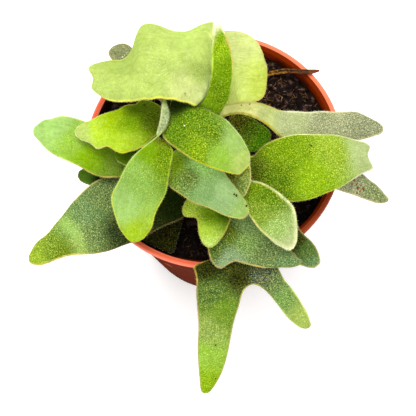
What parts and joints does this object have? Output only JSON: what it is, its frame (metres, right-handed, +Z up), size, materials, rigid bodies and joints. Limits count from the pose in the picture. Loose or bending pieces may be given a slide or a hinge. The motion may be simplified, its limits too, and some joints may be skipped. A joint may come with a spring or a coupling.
{
  "type": "potted staghorn fern",
  "caption": "Young potted fern with broad leathery forked fronds spreading from a scaly crown in a round nursery pot.",
  "frame": {"origin": "centre of the flat underside of the pot", "axes": "+Z up along the pot's axis; -Y is the front of the plant, where the longest forked frond hangs over the lip; +X is to the right seen from the front"},
  "size_m": [0.1659, 0.1729, 0.1604],
  "materials": {
    "pot": "satin moulded plastic, terracotta colour",
    "soil": "loose dark peat",
    "crown": "dry brown scales",
    "twig": "dry bark",
    "old_stalk": "dry stub",
    "frond_back_fan": "leathery leaf with fine pale felt",
    "frond_back_right": "leathery leaf with fine pale felt",
    "frond_upright": "leathery leaf with fine pale felt",
    "frond_top_front": "leathery leaf with fine pale felt",
    "frond_front_long": "leathery leaf with fine pale felt",
    "frond_left_upper": "leathery leaf with fine pale felt",
    "frond_left_long": "leathery leaf with fine pale felt",
    "frond_left_small": "leathery leaf with fine pale felt",
    "frond_left_low": "leathery leaf with fine pale felt",
    "frond_left_front": "leathery leaf with fine pale felt",
    "frond_pot_inner": "leathery leaf with fine pale felt",
    "frond_front_small": "leathery leaf with fine pale felt",
    "frond_right_front": "leathery leaf with fine pale felt",
    "frond_middle_small": "leathery leaf with fine pale felt",
    "frond_middle_front": "leathery leaf with fine pale felt",
    "frond_front_wedge": "leathery leaf with fine pale felt",
    "frond_right_low": "leathery leaf with fine pale felt",
    "frond_bottom_fork": "leathery leaf with fine pale felt",
    "frond_right_broad": "leathery leaf with fine pale felt",
    "frond_right_long": "leathery leaf with fine pale felt",
    "frond_right_inner": "leathery leaf with fine pale felt",
    "frond_back_left": "leathery leaf with fine pale felt"
  },
  "bodies": {
    "root": {"pot": "pot", "soil": "soil", "crown": "crown", "twig": "twig", "old_stalk": "old_stalk", "frond_back_fan": "frond_back_fan", "frond_back_right": "frond_back_right", "frond_upright": "frond_upright", "frond_top_front": "frond_top_front", "frond_front_long": "frond_front_long", "frond_left_upper": "frond_left_upper", "frond_left_long": "frond_left_long", "frond_left_small": "frond_left_small", "frond_left_low": "frond_left_low", "frond_left_front": "frond_left_front", "frond_pot_inner": "frond_pot_inner", "frond_front_small": "frond_front_small", "frond_right_front": "frond_right_front", "frond_middle_small": "frond_middle_small", "frond_middle_front": "frond_middle_front", "frond_front_wedge": "frond_front_wedge", "frond_right_low": "frond_right_low", "frond_bottom_fork": "frond_bottom_fork", "frond_right_broad": "frond_right_broad", "frond_right_long": "frond_right_long", "frond_right_inner": "frond_right_inner", "frond_back_left": "frond_back_left"}
  },
  "joints": []
}
